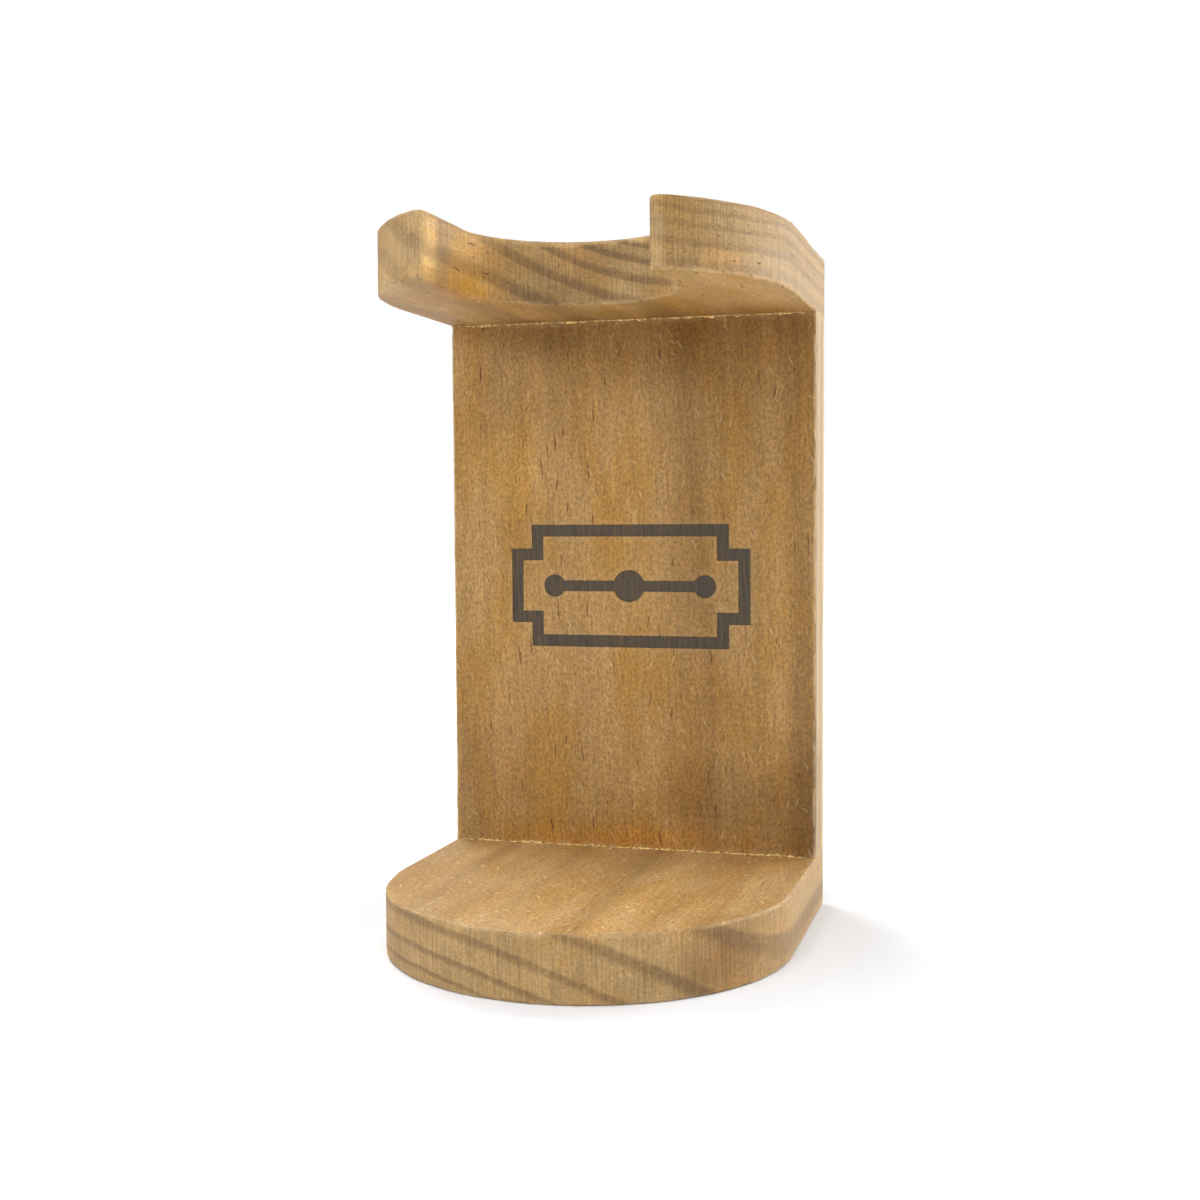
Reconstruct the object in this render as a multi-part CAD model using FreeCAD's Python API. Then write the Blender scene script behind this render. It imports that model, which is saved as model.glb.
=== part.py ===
"""Wooden stand for a safety razor or a shaving brush: three stained pine boards glued into a C.

The back panel stands between a base plate and a top plate, flush with their sides and backs.  Both plates
have a half-round front.  The top plate has a U-shaped notch, open to the front, in which a brush or a razor
hangs head up, with its handle down towards the base.  Two hidden fluted dowels hold each joint.

Frame: millimetres, +Z up, front towards -Y, +X to the right of someone facing the front.
Origin: on the surface that the stand rests on, at the centre of its plan.
"""

import FreeCAD
import Part

import math
import os

Vector = FreeCAD.Vector

# ---- driving dimensions -------------------------------------------------------------------------
width = 70.0  # all three boards, side to side
reach = 61.5  # from the panel's front face to the nose of either plate
clear_height = 99.0  # between the two plates, which is the panel's own height

panel_thickness = 11.0
top_thickness = 11.0
base_thickness = 11.0

notch_width = 35.5  # between the two prongs
notch_web = 20.5  # wood left between the panel's face and the deepest point of the notch
prong_tip_radius = 1.5  # upright corners where the notch meets the half-round front

arris_radius = 0.5  # every outer edge, sanded after the glue had set

dowel_diameter = 6.0
dowel_edge = 14.0  # from a board's side to the dowel's axis
dowel_in_plate = 7.0  # hole depth
dowel_in_panel = 18.0  # hole depth
dowel_end_room = 0.8  # left for glue at each end of the hole
dowel_clearance = 0.05  # on the radius
dowel_chamfer = 0.7
flute_count = 12
flute_radius = 0.35
flute_depth = 0.2

glue_leg = 0.45  # squeezed out into the inside corners
glue_side_gap = 1.5  # the glue stops this far from either side

mark_length = 46.0  # a double-edge blade burnt into the panel
mark_height = 23.0
mark_tab_height = 14.0  # the blade's narrower ends
mark_tab_length = 4.0
mark_stroke = 2.2
mark_slot_length = 29.0
mark_slot_height = 2.0
mark_hole_diameter = 6.0
mark_end_hole_diameter = 4.2
mark_rise = 0.5  # share of the clear height at which the mark is centred
mark_depth = 0.15

# ---- places that follow from them ---------------------------------------------------------------
half_width = width / 2
notch_radius = notch_width / 2

panel_back = (reach + panel_thickness) / 2
panel_front = panel_back - panel_thickness
panel_middle = panel_back - panel_thickness / 2
nose = panel_front - reach
nose_centre = nose + half_width
notch_centre = panel_front - notch_web - notch_radius

base_top = base_thickness
top_under = base_top + clear_height
height = top_under + top_thickness
margin = 1.0  # how far a cutter runs past what it cuts

dowel_places = {"left": dowel_edge - half_width, "right": half_width - dowel_edge}


# ---- helpers ------------------------------------------------------------------------------------
def line(x1, y1, x2, y2):
    return Part.LineSegment(Vector(x1, y1, 0), Vector(x2, y2, 0)).toShape()


def arc(x1, y1, x2, y2, x3, y3):
    return Part.Arc(Vector(x1, y1, 0), Vector(x2, y2, 0), Vector(x3, y3, 0)).toShape()


def slab(outline, bottom, top):
    """A flat board with the closed outline, between two heights."""
    face = Part.Face(Part.Wire(outline))
    face.translate(Vector(0, 0, bottom))
    return face.extrude(Vector(0, 0, top - bottom))


def full_width_block(y_low, y_high, z_low, z_high):
    corner = Vector(-half_width - margin, y_low, z_low)
    return Part.makeBox(width + 2 * margin, y_high - y_low, z_high - z_low, corner)


def upright_cylinder(diameter, length, x, y, z):
    return Part.makeCylinder(diameter / 2, length, Vector(x, y, z))


def at(value, place):
    return math.isclose(value, place, abs_tol=1e-4)


def middle_of(edge):
    return edge.valueAt((edge.FirstParameter + edge.LastParameter) / 2)


# ---- the three boards as one glued and sanded body ----------------------------------------------
def plate_outline():
    """Straight sides, a square back and a half-round front."""
    return [
        line(-half_width, panel_back, -half_width, nose_centre),
        arc(-half_width, nose_centre, 0, nose, half_width, nose_centre),
        line(half_width, nose_centre, half_width, panel_back),
        line(half_width, panel_back, -half_width, panel_back),
    ]


def notch_cutter():
    """The U of the notch, from its round end out past the front."""
    mouth = nose - margin
    outline = [
        line(-notch_radius, mouth, -notch_radius, notch_centre),
        arc(-notch_radius, notch_centre, 0, notch_centre + notch_radius, notch_radius, notch_centre),
        line(notch_radius, notch_centre, notch_radius, mouth),
        line(notch_radius, mouth, -notch_radius, mouth),
    ]
    return slab(outline, top_under - margin, height + margin)


def round_prong_tips(plate):
    """Rounds the two upright corners where the notch meets the front."""
    tips = []
    for edge in plate.Edges:
        middle = middle_of(edge)
        if at(abs(middle.x), notch_radius) and at(edge.Length, top_thickness) and middle.y < notch_centre:
            tips.append(edge)
    return plate.makeFillet(prong_tip_radius, tips)


def is_sanded(edge):
    """Every outer edge is rounded, but not the two inside corners or the prong tips' tangent lines."""
    middle = middle_of(edge)
    if at(middle.z, base_top) or at(middle.z, top_under):
        return middle.y < panel_front - arris_radius
    if at(middle.z, 0) or at(middle.z, height):
        return True
    upright_back = at(abs(middle.x), half_width) and at(middle.y, panel_back)
    upright_front = at(abs(middle.x), half_width) and at(middle.y, panel_front)
    return upright_back or upright_front


def sanded_body():
    base = slab(plate_outline(), 0, base_top)
    top = round_prong_tips(slab(plate_outline(), top_under, height).cut(notch_cutter()))
    panel = Part.makeBox(width, panel_thickness, clear_height, Vector(-half_width, panel_front, base_top))
    body = base.fuse([panel, top]).removeSplitter()
    return body.makeFillet(arris_radius, [edge for edge in body.Edges if is_sanded(edge)])


def dowel_hole(x, joint_height, panel_is_above):
    """A blind hole across a joint, mostly in the panel's end."""
    below = dowel_in_plate if panel_is_above else dowel_in_panel
    diameter = dowel_diameter + 2 * dowel_clearance
    return upright_cylinder(diameter, dowel_in_plate + dowel_in_panel, x, panel_middle, joint_height - below)


def blade_outline(inset):
    """A double-edge blade: a long rectangle whose ends step in, with all its sides moved in by the inset."""
    end = mark_length / 2 - inset
    shoulder = mark_length / 2 - mark_tab_length - inset
    side = mark_height / 2 - inset
    tab = mark_tab_height / 2 - inset
    corners = [(shoulder, side), (shoulder, tab), (end, tab), (end, -tab), (shoulder, -tab), (shoulder, -side)]
    corners += [(-x, y) for x, y in reversed(corners)]
    points = [Vector(x, 0, y) for x, y in corners]
    return Part.Face(Part.makePolygon(points + points[:1]))


def burnt_mark():
    """What the burnt blade takes out of the panel's front face: its outline, its slot and three round holes."""
    slot = Part.makeBox(
        mark_slot_length, mark_depth + margin, mark_slot_height, Vector(-mark_slot_length / 2, 0, -mark_slot_height / 2)
    )
    inner = [slot]
    holes = {0.0: mark_hole_diameter, mark_slot_length / 2: mark_end_hole_diameter}
    holes[-mark_slot_length / 2] = mark_end_hole_diameter
    for x, diameter in holes.items():
        inner.append(Part.makeCylinder(diameter / 2, mark_depth + margin, Vector(x, 0, 0), Vector(0, 1, 0)))
    depth = Vector(0, mark_depth + margin, 0)
    ring = blade_outline(0).extrude(depth).cut(blade_outline(mark_stroke).extrude(depth))
    mark = ring.fuse(inner)
    mark.translate(Vector(0, panel_front - margin, base_top + mark_rise * clear_height))
    return mark


# ---- parts --------------------------------------------------------------------------------------
def dowel(x, joint_height, panel_is_above):
    """A fluted pin with chamfered ends."""
    below = (dowel_in_plate if panel_is_above else dowel_in_panel) - dowel_end_room
    length = dowel_in_plate + dowel_in_panel - 2 * dowel_end_room
    bottom = joint_height - below
    pin = upright_cylinder(dowel_diameter, length, x, panel_middle, bottom)
    pin = pin.makeChamfer(dowel_chamfer, [edge for edge in pin.Edges if len(edge.Vertexes) == 1])
    ring = dowel_diameter / 2 - flute_depth + flute_radius
    flutes = []
    for number in range(flute_count):
        angle = 2 * math.pi * number / flute_count
        flute_x = x + ring * math.cos(angle)
        flute_y = panel_middle + ring * math.sin(angle)
        flutes.append(upright_cylinder(2 * flute_radius, length, flute_x, flute_y, bottom))
    return pin.cut(flutes)


def glue_line(corner_height, direction):
    """A thin three-cornered bead along the inside corner of the panel and a plate."""
    half_length = half_width - glue_side_gap
    corner = Vector(-half_length, panel_front, corner_height)
    along_plate = corner - Vector(0, glue_leg, 0)
    along_panel = corner + Vector(0, 0, direction * glue_leg)
    section = Part.Face(Part.makePolygon([corner, along_plate, along_panel, corner]))
    return section.extrude(Vector(2 * half_length, 0, 0))


def make_parts():
    body = sanded_body()
    joints = {"lower": (base_top, True), "upper": (top_under, False)}
    holes = [dowel_hole(x, *joint) for joint in joints.values() for x in dowel_places.values()]

    back = panel_back + margin
    front = nose - margin
    drilled = body.cut(holes)
    parts = {
        "base_plate": drilled.common(full_width_block(front, back, -margin, base_top)),
        "top_plate": drilled.common(full_width_block(front, back, top_under, height + margin)),
        "back_panel": drilled.common(full_width_block(front, back, base_top, top_under)).cut(burnt_mark()),
    }
    for level, joint in joints.items():
        for side, x in dowel_places.items():
            parts[level + "_" + side + "_dowel"] = dowel(x, *joint)
    parts["lower_glue_line"] = glue_line(base_top, 1)
    parts["upper_glue_line"] = glue_line(top_under, -1)
    return parts


def main():
    os.makedirs("parts", exist_ok=True)
    for name, shape in make_parts().items():
        shape.exportStep(os.path.join("parts", name + ".step"))
        print(name, shape.isValid(), len(shape.Solids), "solid,", round(shape.Volume, 1), "mm3")


main()
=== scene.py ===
"""Looks of a wooden stand for a razor or a shaving brush.

Sanded and stained pine boards, a blade burnt into the back panel, broken lines of dried glue in the inside
corners, and the hidden dowels.  Everything is in metres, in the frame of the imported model.
"""

import math

import bmesh
import bpy
from mathutils import Matrix, Vector, noise


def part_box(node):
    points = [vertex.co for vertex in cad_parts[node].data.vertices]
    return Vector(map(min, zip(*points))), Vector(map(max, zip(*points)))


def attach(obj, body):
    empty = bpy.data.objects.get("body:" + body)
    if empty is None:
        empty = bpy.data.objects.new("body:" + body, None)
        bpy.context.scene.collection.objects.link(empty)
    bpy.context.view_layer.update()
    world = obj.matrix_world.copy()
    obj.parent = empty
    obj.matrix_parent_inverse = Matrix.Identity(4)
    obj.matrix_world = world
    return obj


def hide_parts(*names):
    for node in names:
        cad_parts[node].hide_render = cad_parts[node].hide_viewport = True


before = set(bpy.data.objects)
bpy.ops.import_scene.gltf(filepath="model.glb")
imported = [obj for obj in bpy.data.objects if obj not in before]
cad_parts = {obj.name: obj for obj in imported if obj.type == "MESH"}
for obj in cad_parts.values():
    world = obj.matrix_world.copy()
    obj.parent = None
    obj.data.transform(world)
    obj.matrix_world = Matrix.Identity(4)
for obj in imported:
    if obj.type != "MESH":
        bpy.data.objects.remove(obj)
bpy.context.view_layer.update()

bl_info = {
    "name": "Wooden Razor Stand",
    "version": (1, 0, 0),
    "blender": (4, 5, 0),
    "location": "3D View > Sidebar > Razor Stand",
    "description": "Finishes the boards, glue lines and dowels of a wooden razor stand",
    "category": "Object",
}

MM = 0.001
# Colour of the painted shade in the inside corners.
CORNER_SHADE_TINT = (0.76, 0.64, 0.45)
SOAKED_TINT = (0.7, 0.66, 0.62)
LAMP_SIZE = 0.35
PANEL_LOW, PANEL_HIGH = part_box("back_panel")
BASE_JOINT = PANEL_LOW.z
TOP_JOINT = PANEL_HIGH.z
PANEL_FRONT = PANEL_LOW.y


# ---- settings -----------------------------------------------------------------------------------
def colour_setting(name, description, default):
    return bpy.props.FloatVectorProperty(
        name=name, description=description, subtype="COLOR", size=3, min=0.0, max=1.0, default=default
    )


def length_setting(name, description, default):
    return bpy.props.FloatProperty(
        name=name,
        description=description,
        subtype="DISTANCE",
        unit="LENGTH",
        min=0.0,
        precision=5,
        default=default,
    )


def share_setting(name, description, default):
    return bpy.props.FloatProperty(
        name=name, description=description, subtype="FACTOR", min=0.0, max=1.0, default=default
    )


class RazorStandWood(bpy.types.PropertyGroup):
    """Colours of the stained pine, and how strongly its figure shows."""

    early: colour_setting("Early wood", "Stained early wood on a face", (0.378, 0.216, 0.068))
    late: colour_setting("Late wood", "Stained late wood on a face", (0.19, 0.092, 0.022))
    golden: colour_setting("Golden wood", "Places that took more of the stain", (0.345, 0.174, 0.03))
    sanded_early: colour_setting("Sanded edges", "Early wood on edges and end grain", (0.35, 0.218, 0.086))
    sanded_late: colour_setting("Sanded edge rings", "Late wood on edges and end grain", (0.16, 0.09, 0.034))
    worn: colour_setting("Worn arris", "Pale wood where the stain is sanded through", (0.56, 0.41, 0.22))
    resin: colour_setting("Resin", "Short dark resin canals", (0.12, 0.045, 0.008))
    dust: colour_setting("Dust", "Pale sanding dust and raised fibres", (0.72, 0.54, 0.3))
    burnt: colour_setting("Burnt mark", "Scorched wood of the mark", (0.036, 0.031, 0.024))
    beech: colour_setting("Dowel beech", "Plain beech of the dowels", (0.56, 0.36, 0.19))
    glue: colour_setting("Dried glue", "Dried glue with dust in it", (0.66, 0.42, 0.13))


class RazorStandBoards(bpy.types.PropertyGroup):
    """How the boards were stained and sanded by hand."""

    pitch: length_setting("Mesh pitch", "Size of the boards' mesh cells", 0.65 * MM)
    unevenness: length_setting("Unevenness", "How far hand sanding wanders on a face", 0.06 * MM)
    arris_wear: length_setting("Arris wear", "How far the arrises are worn back in places", 0.22 * MM)
    glue_pitch: length_setting("Glue pitch", "Length of one cell of a glue line", 0.25 * MM)


class RazorStandStage(bpy.types.PropertyGroup):
    """The floor, the lights and the camera."""

    floor: colour_setting("Floor", "Plain pale floor", (0.73, 0.74, 0.76))
    floor_glow: share_setting("Floor glow", "Light that comes up through the floor", 0.2)
    surround: share_setting("Surround", "Share of the white surround's light that reaches the object", 0.25)
    camera_place: bpy.props.FloatVectorProperty(
        name="Camera place",
        description="Where the camera stands",
        subtype="TRANSLATION",
        unit="LENGTH",
        size=3,
        default=(0.07423, -0.25416, 0.07343),
    )
    camera_turn: bpy.props.FloatVectorProperty(
        name="Camera turn",
        description="Tilt, roll and turn of the camera",
        subtype="EULER",
        unit="ROTATION",
        size=3,
        default=(math.radians(86.93), math.radians(0.3), math.radians(15.935)),
    )
    focal_length: bpy.props.FloatProperty(
        name="Focal length",
        description="Focal length in millimetres",
        subtype="DISTANCE_CAMERA",
        default=46.4,
    )


# ---- node helpers -------------------------------------------------------------------------------
def feed(tree, socket, value):
    """Links another node's output to the socket, or sets its own value."""
    if isinstance(value, bpy.types.NodeSocket):
        tree.links.new(value, socket)
    elif socket.type == "RGBA" and len(value) == 3:
        socket.default_value = (*value, 1.0)
    else:
        socket.default_value = value


def add_node(tree, kind, inputs=(), **settings):
    node = tree.nodes.new(kind)
    for name, value in settings.items():
        setattr(node, name, value)
    for key, value in dict(inputs).items():
        feed(tree, node.inputs[key], value)
    return node


def calc(tree, operation, *values):
    node = add_node(tree, "ShaderNodeMath", enumerate(values), operation=operation)
    return node.outputs[0]


def vector_calc(tree, operation, *values, output=0):
    node = add_node(tree, "ShaderNodeVectorMath", enumerate(values), operation=operation)
    return node.outputs[output]


def rise(tree, value, low, high, out_low=0.0, out_high=1.0):
    """A smooth step of the value, from one level to another."""
    inputs = {"Value": value, "From Min": low, "From Max": high, "To Min": out_low, "To Max": out_high}
    return add_node(tree, "ShaderNodeMapRange", inputs, interpolation_type="SMOOTHSTEP").outputs["Result"]


def scaled(tree, value, low, high):
    """A 0 to 1 value, stretched to another span."""
    inputs = {"Value": value, "To Min": low, "To Max": high}
    return add_node(tree, "ShaderNodeMapRange", inputs).outputs["Result"]


def mix_colour(tree, factor, first, second, blend="MIX"):
    node = tree.nodes.new("ShaderNodeMix")
    node.data_type = "RGBA"
    node.blend_type = blend
    colours = [socket for socket in node.inputs if socket.type == "RGBA"]
    feed(tree, node.inputs["Factor"], factor)
    feed(tree, colours[0], first)
    feed(tree, colours[1], second)
    return [socket for socket in node.outputs if socket.type == "RGBA"][0]


def grey_noise(tree, place, stretch, detail=2.0, roughness=0.5):
    """Soft noise of a place in millimetres; the stretch is in cells per millimetre."""
    squeezed = vector_calc(tree, "MULTIPLY", place, stretch)
    inputs = {"Vector": squeezed, "Scale": 1.0, "Detail": detail, "Roughness": roughness}
    return add_node(tree, "ShaderNodeTexNoise", inputs).outputs["Fac"]


def scattered(tree, place, cell, size):
    """Small soft spots, one in each cell of a place in millimetres."""
    squeezed = vector_calc(tree, "DIVIDE", place, cell)
    inputs = {"Vector": squeezed, "Scale": 1.0}
    spots = add_node(tree, "ShaderNodeTexVoronoi", inputs, feature="F1").outputs["Distance"]
    return rise(tree, spots, size, 0.5 * size)


def new_group(name, inputs, outputs):
    """An empty node group with named sockets; returns it with its inner ends."""
    group = bpy.data.node_groups.new(name, "ShaderNodeTree")
    for label, (kind, value) in inputs.items():
        socket = group.interface.new_socket(label, in_out="INPUT", socket_type="NodeSocket" + kind)
        socket.default_value = value
    for label, kind in outputs.items():
        group.interface.new_socket(label, in_out="OUTPUT", socket_type="NodeSocket" + kind)
    entry = group.nodes.new("NodeGroupInput").outputs
    leave = group.nodes.new("NodeGroupOutput").inputs
    return group, entry, leave


def use_group(tree, name, **inputs):
    named = {key.replace("_", " ").capitalize(): value for key, value in inputs.items()}
    node = tree.nodes.new("ShaderNodeGroup")
    node.node_tree = bpy.data.node_groups[name]
    for label, value in named.items():
        feed(tree, node.inputs[label], value)
    return node.outputs


# ---- shared effects -----------------------------------------------------------------------------
def make_growth_rings():
    """Year rings round the pith: late wood darkens slowly outwards, and ends sooner than it began."""
    inputs = {
        "Place": ("Vector", (0, 0, 0)),
        "First ring": ("Float", 70.0),
        "First width": ("Float", 4.0),
        "Widening": ("Float", 0.1),
        "Wobble": ("Float", 1.0),
        "Late share": ("Float", 0.3),
    }
    outputs = {"Late": "Float", "Tone": "Float", "Years": "Float"}
    group, entry, leave = new_group("growth_rings", inputs, outputs)
    wander = grey_noise(group, entry["Place"], (0.075, 0.075, 0.012), detail=4.0, roughness=0.55)
    wander = calc(group, "MULTIPLY", calc(group, "SUBTRACT", wander, 0.5), entry["Wobble"])
    across = vector_calc(group, "MULTIPLY", entry["Place"], (1, 1, 0))
    radius = calc(group, "ADD", vector_calc(group, "LENGTH", across, output="Value"), wander)
    beyond = calc(group, "SUBTRACT", radius, entry["First ring"])
    stretch = calc(group, "DIVIDE", entry["Widening"], entry["First width"])
    grown = calc(group, "LOGARITHM", calc(group, "MULTIPLY_ADD", beyond, stretch, 1.0), math.e)
    years = calc(group, "DIVIDE", grown, entry["Widening"])
    feed(group, leave["Years"], years)
    season = calc(group, "FRACT", years)
    start = calc(group, "SUBTRACT", 1.0, entry["Late share"])
    darkest = calc(group, "MULTIPLY_ADD", entry["Late share"], -0.5, 1.0)
    ending = calc(group, "MULTIPLY_ADD", entry["Late share"], -0.25, 1.0)
    late = calc(group, "MULTIPLY", rise(group, season, start, darkest), rise(group, season, 1.0, ending))
    feed(group, leave["Late"], late)
    whole_years = calc(group, "FLOOR", years)
    tone = add_node(group, "ShaderNodeTexWhiteNoise", {"W": whole_years}, noise_dimensions="1D")
    feed(group, leave["Tone"], tone.outputs["Value"])


def make_fibres():
    """Fine streaks and broad stripes along the grain, and the speckle that shows across it."""
    outputs = {"Streaks": "Float", "Stripes": "Float", "Speckle": "Float", "Clouds": "Float"}
    group, entry, leave = new_group("fibres", {"Place": ("Vector", (0, 0, 0))}, outputs)
    kinds = {
        "Streaks": ((2.3, 2.3, 0.13), 4.0, 0.65),
        "Stripes": ((0.2, 0.2, 0.01), 3.0, 0.5),
        "Speckle": ((1.9, 1.9, 1.3), 4.0, 0.8),
        "Clouds": ((0.1, 0.1, 0.035), 4.0, 0.6),
    }
    for label, (stretch, detail, roughness) in kinds.items():
        grey = grey_noise(group, entry["Place"], stretch, detail, roughness)
        feed(group, leave[label], rise(group, grey, 0.24, 0.76))


def make_resin_canals():
    """Short dark dashes along the grain."""
    group, entry, leave = new_group("resin_canals", {"Place": ("Vector", (0, 0, 0))}, {"Mask": "Float"})
    bent = add_node(group, "ShaderNodeTexNoise", {"Vector": entry["Place"], "Scale": 0.3}).outputs["Color"]
    bent = vector_calc(group, "MULTIPLY_ADD", bent, (1.4, 1.4, 0.0), entry["Place"])
    long_ones = scattered(group, bent, (1.25, 1.25, 20.0), 0.15)
    short_ones = scattered(group, bent, (1.0, 1.0, 6.0), 0.1)
    feed(group, leave["Mask"], calc(group, "MAXIMUM", long_ones, calc(group, "MULTIPLY", short_ones, 0.55)))


def make_dust():
    """Pale specks of sanding dust, thick in some places and thin in others."""
    group, entry, leave = new_group("dust", {"Place": ("Vector", (0, 0, 0))}, {"Mask": "Float"})
    coarse = scattered(group, entry["Place"], (2.6, 2.6, 2.0), 0.05)
    fine = scattered(group, entry["Place"], (0.8, 0.8, 0.9), 0.13)
    specks = calc(group, "MAXIMUM", coarse, calc(group, "MULTIPLY", fine, 0.4))
    patches = rise(group, grey_noise(group, entry["Place"], (0.11, 0.11, 0.11), detail=3.0), 0.42, 0.62)
    feed(group, leave["Mask"], calc(group, "MULTIPLY", specks, patches))


def make_raised_fibres():
    """Short pale fibres and scratches that lie across each other."""
    group, entry, leave = new_group("raised_fibres", {"Place": ("Vector", (0, 0, 0))}, {"Mask": "Float"})
    mask = None
    ways = ((28.0, (1.3, 1.3, 11.0), 0.12), (-17.0, (1.2, 1.2, 9.0), 0.12), (55.0, (1.9, 1.9, 12.0), 0.08))
    for angle, cell, size in ways:
        inputs = {"Vector": entry["Place"], "Rotation": (0, math.radians(angle), 0)}
        turned = add_node(group, "ShaderNodeMapping", inputs).outputs[0]
        found = scattered(group, turned, cell, size)
        mask = found if mask is None else calc(group, "MAXIMUM", mask, found)
    feed(group, leave["Mask"], mask)


def make_edge_wear():
    """Breaks up the worn arrises, so that they come and go."""
    inputs = {"Place": ("Vector", (0, 0, 0)), "Arris": ("Float", 0.0)}
    group, entry, leave = new_group("edge_wear", inputs, {"Mask": "Float"})
    patches = rise(group, grey_noise(group, entry["Place"], (0.35, 0.35, 0.35), detail=4.0), 0.32, 0.6)
    feed(group, leave["Mask"], calc(group, "MULTIPLY", entry["Arris"], patches))


def make_sanding_marks():
    """Fine lines left across a board's thickness by the sanding drum."""
    group, entry, leave = new_group("sanding_marks", {"Place": ("Vector", (0, 0, 0))}, {"Lines": "Float"})
    lines = grey_noise(group, entry["Place"], (4.0, 4.0, 0.12), detail=3.0, roughness=0.6)
    feed(group, leave["Lines"], rise(group, lines, 0.28, 0.72))


def make_painted_corner_shade():
    """Finds the inside corners, for painted shade where the plates shade the panel: most in the upper one,
    under the top plate, and on the right.
    """
    inputs = {
        "Place": ("Vector", (0, 0, 0)),
        "Panel front": ("Float", 25.0),
        "Lower joint": ("Float", 11.0),
        "Upper joint": ("Float", 110.0),
        "Reach": ("Float", 14.0),
        "Lower share": ("Float", 0.27),
    }
    group, entry, leave = new_group("painted_corner_shade", inputs, {"Mask": "Float"})
    axes = add_node(group, "ShaderNodeSeparateXYZ", {"Vector": entry["Place"]}).outputs
    ahead = calc(group, "SUBTRACT", axes["Y"], entry["Panel front"])
    ragged = calc(group, "MULTIPLY", grey_noise(group, entry["Place"], (0.12, 0.12, 0.12), detail=4.0), 9.0)
    drawn = rise(group, axes["X"], -35.0, 40.0, 0.45, 1.65)
    outer_reach = calc(group, "MULTIPLY_ADD", entry["Reach"], drawn, 4.5)
    masks = []
    for joint in ("Lower joint", "Upper joint"):
        above = calc(group, "SUBTRACT", axes["Z"], entry[joint])
        corner = add_node(group, "ShaderNodeCombineXYZ", {"X": ahead, "Y": above}).outputs[0]
        distance = calc(group, "ADD", vector_calc(group, "LENGTH", corner, output="Value"), ragged)
        masks.append(rise(group, distance, outer_reach, 4.0))
    lower = calc(group, "MULTIPLY", masks[0], calc(group, "MULTIPLY", entry["Lower share"], drawn))
    feed(group, leave["Mask"], calc(group, "MAXIMUM", lower, masks[1]))


def make_stain_and_painted_light_spot():
    """One soft, ragged spot round a centre, as far as its reach."""
    inputs = {
        "Place": ("Vector", (0, 0, 0)),
        "Centre": ("Vector", (0, 0, 0)),
        "Reach": ("Vector", (9, 9, 9)),
    }
    group, entry, leave = new_group("stain_and_painted_light_spot", inputs, {"Mask": "Float"})
    away = vector_calc(group, "SUBTRACT", entry["Place"], entry["Centre"])
    away = vector_calc(group, "DIVIDE", away, entry["Reach"])
    ragged = calc(group, "MULTIPLY", grey_noise(group, entry["Place"], (0.2, 0.2, 0.2), detail=4.0), 0.7)
    distance = calc(group, "ADD", vector_calc(group, "LENGTH", away, output="Value"), ragged)
    feed(group, leave["Mask"], rise(group, distance, 1.35, 0.55))


def make_shared_effects():
    for make in (
        make_growth_rings,
        make_fibres,
        make_resin_canals,
        make_dust,
        make_raised_fibres,
        make_edge_wear,
        make_sanding_marks,
        make_painted_corner_shade,
        make_stain_and_painted_light_spot,
    ):
        make()


# ---- materials ----------------------------------------------------------------------------------
def new_material(name):
    """An empty material; returns it with its tree and its shader's inputs."""
    material = bpy.data.materials.new(name)
    material.use_nodes = True
    tree = material.node_tree
    shader = tree.nodes["Principled BSDF"]
    return material, tree, shader.inputs


def in_millimetres(tree, turn=(0, 0, 0), shift=(0, 0, 0)):
    """The object's own coordinates in millimetres, turned and then shifted."""
    coordinates = add_node(tree, "ShaderNodeTexCoord").outputs["Object"]
    inputs = {"Vector": coordinates, "Rotation": turn, "Location": shift, "Scale": (1000, 1000, 1000)}
    return add_node(tree, "ShaderNodeMapping", inputs, vector_type="POINT").outputs[0]


def tinted(tree, colour, *shades):
    """Makes the colour lighter and darker by each value, spread between its own two strengths."""
    strength = 1.0
    for value, low, high in shades:
        strength = calc(tree, "MULTIPLY", strength, scaled(tree, value, low, high))
    return mix_colour(tree, 1.0, colour, vector_calc(tree, "MULTIPLY", strength, (1, 1, 1)), "MULTIPLY")


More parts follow.
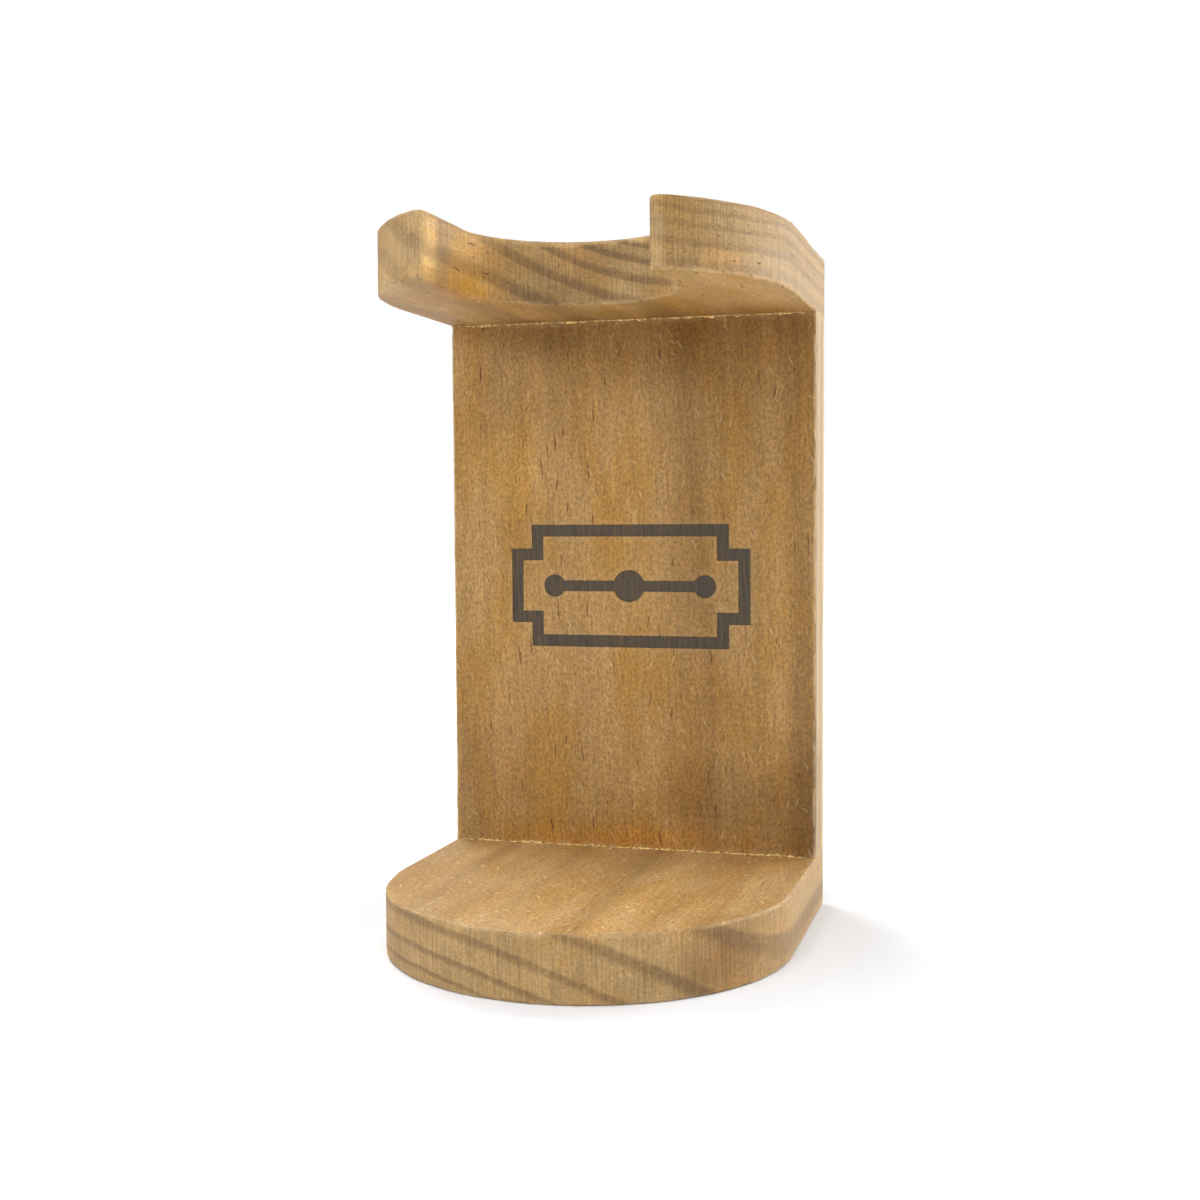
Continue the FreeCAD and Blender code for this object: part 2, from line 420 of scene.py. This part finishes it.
def stained_pine(name, wood, cut):
    """Stained pine cut from one place in a log.

    The cut says how the board's grain and rings lie, how strongly each effect shows on its faces and edges,
    and spots where the colour is lighter or darker, a few of darker stain and most of them painted light and
    painted shade: their centre and reach in millimetres, and tint.
    """
    material, tree, shader = new_material(name)
    place = in_millimetres(tree, cut["turn"], cut["pith"])
    upright = in_millimetres(tree)
    year = use_group(tree, "growth_rings", place=place, **cut["rings"])
    fibres = use_group(tree, "fibres", place=place)

    normal = add_node(tree, "ShaderNodeNewGeometry").outputs["Normal"]
    along = vector_calc(tree, "DOT_PRODUCT", normal, cut["grain"], output="Value")
    along = calc(tree, "ABSOLUTE", along)
    across = vector_calc(tree, "DOT_PRODUCT", normal, cut["thickness"], output="Value")
    across = calc(tree, "ABSOLUTE", across)
    outwards = vector_calc(tree, "DOT_PRODUCT", normal, upright, output="Value")
    edge = rise(tree, across, 0.75, 0.35)
    outside = calc(tree, "MULTIPLY", edge, rise(tree, outwards, 2.0, 12.0))
    sanded = calc(tree, "MULTIPLY", outside, cut["sanding"])
    sanded = calc(tree, "MAXIMUM", rise(tree, along, 0.2, 0.85), sanded)
    inside = calc(tree, "SUBTRACT", 1.0, outside)
    joints = {
        "panel_front": PANEL_FRONT / MM,
        "lower_joint": BASE_JOINT / MM,
        "upper_joint": TOP_JOINT / MM,
    }
    corner_shade_mask = use_group(tree, "painted_corner_shade", place=upright, **joints)["Mask"]
    corner_shade_mask = calc(tree, "MULTIPLY", corner_shade_mask, inside)

    clouds = rise(tree, fibres["Clouds"], 0.25, 0.9)
    face = mix_colour(tree, cut["paleness"], wood.early, wood.worn)
    face = mix_colour(tree, calc(tree, "MULTIPLY", clouds, cut["golden"]), face, wood.golden)
    face = mix_colour(tree, calc(tree, "MULTIPLY", year["Late"], cut["figure"]), face, wood.late)
    rubbed = mix_colour(tree, calc(tree, "MULTIPLY", clouds, 0.45), wood.sanded_early, wood.golden)
    # Pale sanded edges; on the back panel this also paints the sheen of light on its bright right edge.
    rubbed = mix_colour(tree, cut["pale_edge_and_sheen"], rubbed, wood.worn)
    rings = scaled(tree, outside, cut["end_figure"], cut["edge_figure"])
    rings = calc(tree, "MULTIPLY", year["Late"], rings)
    colour = mix_colour(tree, sanded, face, mix_colour(tree, rings, rubbed, wood.sanded_late))
    # Painted shade: the inside corners are darkened, most under the top plate and towards the right.
    colour = mix_colour(tree, calc(tree, "MULTIPLY", corner_shade_mask, 0.85), colour, CORNER_SHADE_TINT, "MULTIPLY")
    soaked = calc(tree, "MULTIPLY", inside, rise(tree, along, 0.5, 0.95))
    soaked = calc(tree, "MULTIPLY", soaked, cut["soaking"])
    colour = mix_colour(tree, soaked, colour, SOAKED_TINT, "MULTIPLY")

    # Spots that make the colour lighter or darker; most of them are painted light and painted shade.
    for centre, reach, tint in cut["spots"]:
        spot = use_group(tree, "stain_and_painted_light_spot", place=upright, centre=centre, reach=reach)["Mask"]
        colour = mix_colour(tree, spot, colour, tint, "MULTIPLY")

    lines = use_group(tree, "sanding_marks", place=upright)["Lines"]
    lines = calc(tree, "MULTIPLY", edge, calc(tree, "SUBTRACT", lines, 0.5))
    speckle = calc(tree, "SUBTRACT", fibres["Speckle"], 0.5)
    speckle = calc(tree, "MULTIPLY", speckle, scaled(tree, edge, 1.0, 0.55))
    colour = tinted(
        tree,
        colour,
        (fibres["Streaks"], 1.0 - cut["streaks"], 1.0 + cut["streaks"]),
        (fibres["Stripes"], 0.88, 1.12),
        (calc(tree, "ADD", speckle, 0.5), 0.55, 1.45),
        (year["Tone"], 0.94, 1.06),
        (rise(tree, year["Years"], -0.25, 0.05), 1.0, 1.0 - cut["heart"]),
        (calc(tree, "ADD", lines, 0.5), 0.77, 1.23),
    )

    resin = use_group(tree, "resin_canals", place=place)["Mask"]
    colour = mix_colour(tree, calc(tree, "MULTIPLY", resin, cut["resin"]), colour, wood.resin)
    arris = add_node(tree, "ShaderNodeAttribute", attribute_name="arris").outputs["Fac"]
    worn = use_group(tree, "edge_wear", place=upright, arris=arris)["Mask"]
    colour = mix_colour(tree, calc(tree, "MULTIPLY", worn, cut["wear"]), colour, wood.worn)
    dust = use_group(tree, "dust", place=upright)["Mask"]
    raised = use_group(tree, "raised_fibres", place=place)["Mask"]
    raised = calc(tree, "MULTIPLY", raised, scaled(tree, edge, cut["fuzz"], 0.15 * cut["fuzz"]))
    pale = calc(tree, "MAXIMUM", calc(tree, "MULTIPLY", dust, 0.36), calc(tree, "MULTIPLY", raised, 0.75))
    colour = mix_colour(tree, pale, colour, wood.dust)
    burnt = add_node(tree, "ShaderNodeAttribute", attribute_name="burnt").outputs["Fac"]
    scorch = calc(tree, "MULTIPLY", burnt, scaled(tree, fibres["Streaks"], 1.0, 0.8))
    colour = mix_colour(tree, scorch, colour, wood.burnt)

    feed(tree, shader["Base Color"], colour)
    dull = scaled(tree, fibres["Speckle"], 0.52, 0.62)
    feed(tree, shader["Roughness"], calc(tree, "MULTIPLY_ADD", sanded, 0.08, dull))
    shader["Specular IOR Level"].default_value = 0.35

    relief = calc(tree, "MULTIPLY", fibres["Streaks"], 0.25)
    relief = calc(tree, "MULTIPLY_ADD", fibres["Speckle"], 0.3, relief)
    relief = calc(tree, "MULTIPLY_ADD", lines, 0.35, relief)
    relief = calc(tree, "MULTIPLY_ADD", year["Late"], 0.3, relief)
    relief = calc(tree, "MULTIPLY_ADD", resin, -0.8, relief)
    relief = calc(tree, "MULTIPLY_ADD", pale, 0.45, relief)
    bump = add_node(tree, "ShaderNodeBump", {"Strength": 0.4, "Distance": 0.12 * MM, "Height": relief})
    feed(tree, shader["Normal"], bump.outputs[0])
    return material


def turned_beech(wood):
    """Plain beech with short dark rays, for the dowels."""
    material, tree, shader = new_material("turned_beech")
    place = in_millimetres(tree)
    fibres = use_group(tree, "fibres", place=place)
    rays = scattered(tree, place, (0.7, 0.7, 2.2), 0.16)
    colour = tinted(tree, wood.beech, (fibres["Streaks"], 0.9, 1.06), (rays, 1.0, 0.72))
    feed(tree, shader["Base Color"], colour)
    feed(tree, shader["Roughness"], scaled(tree, fibres["Speckle"], 0.55, 0.75))
    inputs = {"Strength": 0.3, "Distance": 0.1 * MM, "Height": fibres["Streaks"]}
    bump = add_node(tree, "ShaderNodeBump", inputs)
    feed(tree, shader["Normal"], bump.outputs[0])
    return material


def dried_glue(wood):
    """Dried glue, clouded and full of sanding dust."""
    material, tree, shader = new_material("dried_glue")
    place = in_millimetres(tree)
    cloud = rise(tree, grey_noise(tree, place, (1.6, 1.6, 1.6), detail=3.0), 0.36, 0.66)
    dust = use_group(tree, "dust", place=place)["Mask"]
    colour = tinted(tree, wood.glue, (cloud, 0.35, 1.4))
    feed(tree, shader["Base Color"], mix_colour(tree, dust, colour, wood.dust))
    feed(tree, shader["Roughness"], scaled(tree, cloud, 0.35, 0.6))
    bump = add_node(tree, "ShaderNodeBump", {"Strength": 0.5, "Distance": 0.1 * MM, "Height": cloud})
    feed(tree, shader["Normal"], bump.outputs[0])
    return material


# ---- mesh helpers -------------------------------------------------------------------------------
def slice_along(bm, axis, low, high, pitch):
    """Cuts every face at even steps along one axis, so that the mesh can take fine changes of shape."""
    count = max(1, round((high - low) / pitch))
    direction = Vector((0, 0, 0))
    direction[axis] = 1.0
    for step in range(1, count):
        place = Vector((0, 0, 0))
        place[axis] = low + (high - low) * step / count
        geometry = [*bm.verts, *bm.edges, *bm.faces]
        bmesh.ops.bisect_plane(bm, geom=geometry, dist=0.03 * pitch, plane_co=place, plane_no=direction)


def board_from_cad(node, pitch):
    """A closed, finely sliced copy of a board's CAD shape."""
    bm = bmesh.new()
    bm.from_mesh(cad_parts[node].data)
    bmesh.ops.remove_doubles(bm, verts=bm.verts, dist=0.002 * MM)
    bmesh.ops.dissolve_limit(bm, angle_limit=math.radians(0.5), verts=bm.verts, edges=bm.edges)
    low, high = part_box(node)
    for axis in range(3):
        slice_along(bm, axis, low[axis], high[axis], pitch)
    return bm


def find_arrises(bm, soft=4.5, sharp=8.0):
    """Stores how sharply the surface turns at each point, from 0 on a flat to 1 on an arris.

    The turns are in degrees.  The value then spreads a little to both sides, so that it fades out.
    """
    arris = bm.verts.layers.float.new("arris")
    for vert in bm.verts:
        turn = max(math.degrees(edge.calc_face_angle(0.0)) for edge in vert.link_edges)
        vert[arris] = min(1.0, max(0.0, (turn - soft) / (sharp - soft)))
    for spread in range(3):
        around = [sum(edge.other_vert(vert)[arris] for edge in vert.link_edges) for vert in bm.verts]
        for vert, total in zip(bm.verts, around):
            vert[arris] = 0.5 * vert[arris] + 0.5 * total / len(vert.link_edges)
    return arris


def is_joint(point):
    """True on the glued faces, which stay as they were cut."""
    reach = 0.02 * MM
    at_joint = min(abs(point.z - BASE_JOINT), abs(point.z - TOP_JOINT)) < reach
    return at_joint and point.y > PANEL_FRONT - reach


def sand_by_hand(bm, arris, boards, nicks=()):
    """Moves the surface inwards: slow waves on the faces, worn arrises, and single nicks."""
    moves = []
    for vert in bm.verts:
        if is_joint(vert.co):
            continue
        place = vert.co / MM
        wave = 0.5 + 0.5 * noise.noise(place * 0.055)
        ripple = 0.5 + 0.5 * noise.noise(place * 0.45)
        wear = max(0.0, 0.4 + noise.noise(place * 0.16) + 0.35 * noise.noise(place * 0.7))
        inwards = boards.unevenness * (0.75 * wave + 0.25 * ripple) + boards.arris_wear * vert[arris] * wear
        for spot, size, depth in nicks:
            distance = (place - Vector(spot)).length
            if distance < size:
                inwards += depth * MM * math.cos(0.5 * math.pi * distance / size) ** 2
        moves.append((vert, vert.normal * inwards))
    for vert, move in moves:
        vert.co -= move


def finish_mesh(bm, name, sharp_turn=32.0):
    """Makes an object of the mesh, smooth except at its sharp edges."""
    bm.normal_update()
    for face in bm.faces:
        face.smooth = True
    for edge in bm.edges:
        edge.smooth = edge.calc_face_angle(0.0) < math.radians(sharp_turn)
    mesh = bpy.data.meshes.new(name)
    bm.to_mesh(mesh)
    bm.free()
    if "custom_normal" in mesh.attributes:
        mesh.attributes.remove(mesh.attributes["custom_normal"])
    piece = bpy.data.objects.new(name, mesh)
    bpy.context.scene.collection.objects.link(piece)
    normals = piece.modifiers.new("Weighted Normal", "WEIGHTED_NORMAL")
    normals.weight = 90
    normals.keep_sharp = True
    return piece


def finish_board(piece, node, material):
    piece.data.materials.clear()
    piece.data.materials.append(material)
    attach(piece, "root")
    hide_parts(node)


# ---- operators ----------------------------------------------------------------------------------
class RAZORSTAND_OT_effects(bpy.types.Operator):
    """Make the grain, wear and dust that all the wood shares"""

    bl_idname = "razor_stand.effects"
    bl_label = "Shared Wood Effects"

    def execute(self, context):
        make_shared_effects()
        return {"FINISHED"}


class RAZORSTAND_OT_base_plate(bpy.types.Operator):
    """Finish the round-fronted base plate"""

    bl_idname = "razor_stand.base_plate"
    bl_label = "Base Plate"

    def execute(self, context):
        scene = context.scene
        bm = board_from_cad("base_plate", scene.razor_stand_boards.pitch)
        arris = find_arrises(bm)
        nicks = (
            ((-24.0, -11.5, 11.0), 1.6, 0.35),
            ((19.5, -16.5, 11.0), 1.4, 0.3),
            ((34.6, 2.0, 11.0), 1.2, 0.3),
        )
        sand_by_hand(bm, arris, scene.razor_stand_boards, nicks)
        piece = finish_mesh(bm, "sanded_base_plate")
        cut = {
            "grain": (0, 1, 0),
            "thickness": (0, 0, 1),
            "turn": (math.radians(90), 0, 0),
            "pith": (25.0, -70.0, 0.0),
            "rings": {
                "first_ring": 76.4,
                "first_width": 3.99,
                "widening": 0.32,
                "wobble": 1.7,
                "late_share": 0.4,
            },
            "heart": 0.0,
            "streaks": 0.1,
            "soaking": 0.0,
            "paleness": 0.22,
            "pale_edge_and_sheen": 0.0,
            "golden": 0.52,
            "figure": 0.25,
            "edge_figure": 0.6,
            "end_figure": 0.6,
            "sanding": 1.0,
            "resin": 0.4,
            "fuzz": 1.0,
            "wear": 0.22,
            "spots": (((27.5, -23.0, 5.0), (11.0, 11.0, 10.0), (0.72, 0.64, 0.53)),),
        }
        material = stained_pine("base_plate_pine", scene.razor_stand_wood, cut)
        finish_board(piece, "base_plate", material)
        return {"FINISHED"}


class RAZORSTAND_OT_top_plate(bpy.types.Operator):
    """Finish the notched top plate"""

    bl_idname = "razor_stand.top_plate"
    bl_label = "Top Plate"

    def execute(self, context):
        scene = context.scene
        bm = board_from_cad("top_plate", scene.razor_stand_boards.pitch)
        arris = find_arrises(bm)
        nicks = (
            ((19.0, -31.0, 110.0), 1.5, 0.3),
            ((-5.0, 4.7, 110.2), 1.2, 0.35),
            ((8.0, 2.8, 110.2), 1.1, 0.3),
        )
        sand_by_hand(bm, arris, scene.razor_stand_boards, nicks)
        piece = finish_mesh(bm, "sanded_top_plate")
        cut = {
            "grain": (0, 1, 0),
            "thickness": (0, 0, 1),
            "turn": (math.radians(90), 0, 0),
            "pith": (-27.8, 190.0, 30.0),
            "rings": {
                "first_ring": 71.6,
                "first_width": 1.99,
                "widening": 0.205,
                "wobble": 1.9,
                "late_share": 0.62,
            },
            "heart": 0.0,
            "streaks": 0.13,
            "soaking": 0.7,
            "paleness": 0.2,
            "pale_edge_and_sheen": 0.0,
            "golden": 0.8,
            "figure": 0.45,
            "edge_figure": 0.33,
            "end_figure": 0.7,
            "sanding": 0.85,
            "resin": 0.85,
            "fuzz": 1.0,
            "wear": 0.28,
            "spots": (
                # Painted light on the notch's left wall, where light from the right falls: a golden pool,
                # and a cream highlight near the front.
                ((-17.8, -12.5, 113.5), (6.0, 11.0, 12.0), (1.42, 1.3, 0.8)),
                ((-16.8, -28.0, 115.0), (2.8, 5.5, 14.0), (2.0, 2.05, 2.0)),
                ((8.0, 4.0, 115.0), (8.0, 8.0, 10.0), (1.12, 1.18, 1.28)),
                # Painted shade on the front of the right prong, which faces away from the light.
                ((19.0, -31.0, 115.0), (15.0, 12.0, 14.0), (0.88, 0.84, 0.74)),
            ),
        }
        material = stained_pine("top_plate_pine", scene.razor_stand_wood, cut)
        finish_board(piece, "top_plate", material)
        return {"FINISHED"}


class RAZORSTAND_OT_back_panel(bpy.types.Operator):
    """Finish the upright back panel with its burnt mark"""

    bl_idname = "razor_stand.back_panel"
    bl_label = "Back Panel"

    def execute(self, context):
        scene = context.scene
        bm = board_from_cad("back_panel", scene.razor_stand_boards.pitch)
        arris = find_arrises(bm)
        self.find_mark(bm, arris)
        nicks = (
            ((-34.8, 25.4, 109.2), 0.9, 0.18),
            ((34.7, 25.4, 88.0), 1.6, 0.3),
            ((34.7, 25.4, 62.0), 1.2, 0.25),
        )
        sand_by_hand(bm, arris, scene.razor_stand_boards, nicks)
        piece = finish_mesh(bm, "sanded_back_panel")
        cut = {
            "grain": (0, 0, 1),
            "thickness": (0, 1, 0),
            "turn": (0, math.radians(2.0), 0),
            "pith": (20.0, -158.0 - PANEL_FRONT / MM, 0.0),
            "rings": {
                "first_ring": 162.5,
                "first_width": 5.2,
                "widening": 0.02,
                "wobble": 2.0,
                "late_share": 0.4,
            },
            "heart": 0.14,
            "streaks": 0.15,
            "soaking": 0.0,
            "paleness": 0.0,
            "pale_edge_and_sheen": 0.45,
            "golden": 0.9,
            "figure": 0.4,
            "edge_figure": 0.4,
            "end_figure": 0.4,
            "sanding": 1.0,
            "resin": 0.85,
            "fuzz": 0.4,
            "wear": 0.5,
            "spots": (
                ((33.0, 25.0, 20.0), (12.0, 12.0, 20.0), (0.76, 0.74, 0.76)),
                ((-29.0, 25.0, 22.0), (14.0, 12.0, 20.0), (0.86, 0.84, 0.85)),
                # Painted reflection: warm light from the base, golden along the foot of the panel.
                ((2.0, 25.0, 12.0), (34.0, 12.0, 5.5), (1.22, 1.06, 0.76)),
                # Painted light on the upper left of the panel, below the top plate's shade.
                ((-23.0, 25.0, 83.0), (12.0, 12.0, 13.0), (1.22, 1.22, 1.2)),
                # Painted shadow of the top plate on the panel's top left.
                ((-17.0, 25.0, 106.0), (14.0, 12.0, 5.0), (0.8, 0.78, 0.76)),
                ((17.0, 25.0, 22.0), (18.0, 12.0, 10.0), (0.87, 0.85, 0.84)),
            ),
        }
        material = stained_pine("back_panel_pine", scene.razor_stand_wood, cut)
        finish_board(piece, "back_panel", material)
        return {"FINISHED"}

    def find_mark(self, bm, arris):
        """Stores which faces are the floor and the walls of the burnt recess."""
        burnt = bm.faces.layers.float.new("burnt")
        step = 0.01 * MM
        side = PANEL_HIGH.x - 5 * MM
        for face in bm.faces:
            middle = face.calc_center_median()
            sunk = PANEL_FRONT + step < middle.y < PANEL_FRONT + 1 * MM
            between = BASE_JOINT + step < middle.z < TOP_JOINT - step
            if sunk and between and abs(middle.x) < side and face.normal.y < 0.5:
                face[burnt] = 1.0
                for vert in face.verts:
                    vert[arris] = 0.0


class RAZORSTAND_OT_glue_lines(bpy.types.Operator):
    """Run a thin broken line of dried glue along both inside corners"""

    bl_idname = "razor_stand.glue_lines"
    bl_label = "Glue Lines"

    def execute(self, context):
        scene = context.scene
        material = dried_glue(scene.razor_stand_wood)
        corners = (("lower_glue_line", BASE_JOINT, 1.0), ("upper_glue_line", TOP_JOINT, -1.0))
        for node, joint, way in corners:
            piece = self.bead(node, joint, way, scene.razor_stand_boards.glue_pitch)
            piece.data.materials.append(material)
            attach(piece, "root")
            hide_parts(node)
        return {"FINISHED"}

    def bead(self, node, joint, way, pitch):
        """A lumpy bead that fades out in places: a quarter round, drawn out along the corner."""
        low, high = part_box(node)
        leg = high.z - low.z
        bm = bmesh.new()
        corner = Vector((low.x, PANEL_FRONT, joint))
        bmesh.ops.create_circle(bm, cap_ends=True, radius=leg, segments=16)
        facing_x = Matrix.Rotation(math.radians(90), 3, "Y")
        bmesh.ops.rotate(bm, verts=bm.verts, cent=(0, 0, 0), matrix=facing_x)
        bmesh.ops.translate(bm, verts=bm.verts, vec=corner)
        for place, direction in ((corner, Vector((0, 1, 0))), (corner, Vector((0, 0, -way)))):
            geometry = [*bm.verts, *bm.edges, *bm.faces]
            bmesh.ops.bisect_plane(bm, geom=geometry, plane_co=place, plane_no=direction, clear_outer=True)
        drawn = bmesh.ops.extrude_face_region(bm, geom=bm.faces[:])
        ends = [item for item in drawn["geom"] if isinstance(item, bmesh.types.BMVert)]
        bmesh.ops.translate(bm, verts=ends, vec=(high.x - low.x, 0, 0))
        slice_along(bm, 0, low.x, high.x, pitch)
        for vert in bm.verts:
            place = vert.co / MM
            lump = 0.5 + 0.9 * noise.noise(Vector((place.x * 1.1, way, 0)))
            break_up = max(0.0, noise.noise(Vector((place.x * 0.23, 7 * way, 3))) + 0.2)
            share = min(1.0, max(0.05, lump * (0.55 + 1.8 * break_up)))
            vert.co.y = PANEL_FRONT + (vert.co.y - PANEL_FRONT) * share
            vert.co.z = joint + (vert.co.z - joint) * share
        bmesh.ops.recalc_face_normals(bm, faces=bm.faces)
        return finish_mesh(bm, "broken_" + node, sharp_turn=50.0)


class RAZORSTAND_OT_dowels(bpy.types.Operator):
    """Give the hidden dowels their beech"""

    bl_idname = "razor_stand.dowels"
    bl_label = "Dowels"

    def execute(self, context):
        material = turned_beech(context.scene.razor_stand_wood)
        for name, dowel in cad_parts.items():
            if name.endswith("_dowel"):
                dowel.material_slots[0].material = material
        return {"FINISHED"}


class RAZORSTAND_OT_stage(bpy.types.Operator):
    """Lay a pale floor with a painted soft shadow round the stand, light it softly and set up the camera"""

    bl_idname = "razor_stand.stage"
    bl_label = "Stage"

    def execute(self, context):
        scene = context.scene
        settings = scene.razor_stand_stage
        self.lay_floor(settings)
        self.light(settings)
        self.set_camera(scene, settings)
        scene.view_settings.view_transform = "Standard"
        return {"FINISHED"}

    def lay_floor(self, settings):
        bm = bmesh.new()
        bmesh.ops.create_grid(bm, x_segments=8, y_segments=8, size=3.0)
        floor = finish_mesh(bm, "floor")
        material, tree, shader = new_material("pale_floor")
        shader["Base Color"].default_value = (*settings.floor, 1.0)
        shader["Roughness"].default_value = 0.9
        shader["Specular IOR Level"].default_value = 0.1
        shader["Emission Color"].default_value = (1.0, 1.0, 1.0, 1.0)
        place = add_node(tree, "ShaderNodeTexCoord").outputs["Object"]
        # Painted shadow: for the camera the floor glows white away from the stand and less towards it, which
        # paints a soft shadow round the base.
        away = rise(tree, vector_calc(tree, "LENGTH", place, output="Value"), 0.04, 0.16)
        seen = add_node(tree, "ShaderNodeLightPath").outputs["Is Camera Ray"]
        shown = calc(tree, "SUBTRACT", away, settings.floor_glow)
        glow = calc(tree, "MULTIPLY_ADD", shown, seen, settings.floor_glow)
        feed(tree, shader["Emission Strength"], glow)
        floor.data.materials.append(material)

    def light(self, settings):
        world = bpy.data.worlds.new("white_surround")
        world.use_nodes = True
        background = world.node_tree.nodes["Background"]
        background.inputs["Color"].default_value = (1.0, 1.0, 1.0, 1.0)
        seen = add_node(world.node_tree, "ShaderNodeLightPath").outputs["Is Camera Ray"]
        strength = scaled(world.node_tree, seen, settings.surround, 1.0)
        feed(world.node_tree, background.inputs["Strength"], strength)
        bpy.context.scene.world = world
        target = Vector((0, 0, 0.06))
        lamps = (
            ("right_softbox", (0.65, 0.05, 0.15), 0.6),
            ("right_back_softbox", (0.5, 0.45, 0.2), 4.2),
            ("right_front_softbox", (0.5, -0.45, 0.25), 0.65),
            ("left_softbox", (-0.65, 0.0, 0.2), 1.1),
            ("left_front_softbox", (-0.45, -0.5, 0.3), 1.1),
            ("overhead_softbox", (0.0, -0.15, 0.75), 2.7),
            ("front_softbox", (0.0, -0.5, 0.5), 1.7),
            ("left_back_softbox", (-0.35, 0.35, 0.55), 2.6),
        )
        for name, place, power in lamps:
            lamp = bpy.data.lights.new(name, "AREA")
            lamp.shape = "SQUARE"
            lamp.size = LAMP_SIZE
            lamp.energy = power
            holder = bpy.data.objects.new(name, lamp)
            holder.location = place
            holder.rotation_euler = (target - Vector(place)).to_track_quat("-Z", "Y").to_euler()
            bpy.context.scene.collection.objects.link(holder)

    def set_camera(self, scene, settings):
        camera = bpy.data.objects.new("camera", bpy.data.cameras.new("camera"))
        camera.location = settings.camera_place
        camera.rotation_euler = settings.camera_turn
        camera.data.sensor_width = 36.0
        camera.data.lens = settings.focal_length
        camera.data.clip_start = 0.01
        scene.collection.objects.link(camera)
        scene.camera = camera


class RAZORSTAND_PT_sidebar(bpy.types.Panel):
    """Lists the stand's pieces in the 3D view's sidebar"""

    bl_label = "Razor Stand"
    bl_idname = "RAZORSTAND_PT_sidebar"
    bl_space_type = "VIEW_3D"
    bl_region_type = "UI"
    bl_category = "Razor Stand"

    def draw(self, context):
        for operator in OPERATORS:
            self.layout.operator(operator.bl_idname)
        for group in SETTINGS:
            box = self.layout.box()
            settings = getattr(context.scene, group)
            for name in settings.bl_rna.properties.keys():
                if name not in {"rna_type", "name"}:
                    box.prop(settings, name)


# ---- registering --------------------------------------------------------------------------------
SETTINGS = {
    "razor_stand_wood": RazorStandWood,
    "razor_stand_boards": RazorStandBoards,
    "razor_stand_stage": RazorStandStage,
}
OPERATORS = (
    RAZORSTAND_OT_effects,
    RAZORSTAND_OT_base_plate,
    RAZORSTAND_OT_top_plate,
    RAZORSTAND_OT_back_panel,
    RAZORSTAND_OT_glue_lines,
    RAZORSTAND_OT_dowels,
    RAZORSTAND_OT_stage,
)


def register():
    for settings in SETTINGS.values():
        bpy.utils.register_class(settings)
    for name, settings in SETTINGS.items():
        setattr(bpy.types.Scene, name, bpy.props.PointerProperty(type=settings))
    for operator in OPERATORS:
        bpy.utils.register_class(operator)
    bpy.utils.register_class(RAZORSTAND_PT_sidebar)


def unregister():
    bpy.utils.unregister_class(RAZORSTAND_PT_sidebar)
    for operator in reversed(OPERATORS):
        bpy.utils.unregister_class(operator)
    for name, settings in reversed(SETTINGS.items()):
        delattr(bpy.types.Scene, name)
        bpy.utils.unregister_class(settings)


def main():
    register()
    bpy.ops.razor_stand.effects()
    bpy.ops.razor_stand.base_plate()
    bpy.ops.razor_stand.top_plate()
    bpy.ops.razor_stand.back_panel()
    bpy.ops.razor_stand.glue_lines()
    bpy.ops.razor_stand.dowels()
    bpy.ops.razor_stand.stage()


if __name__ == "__main__":
    main()
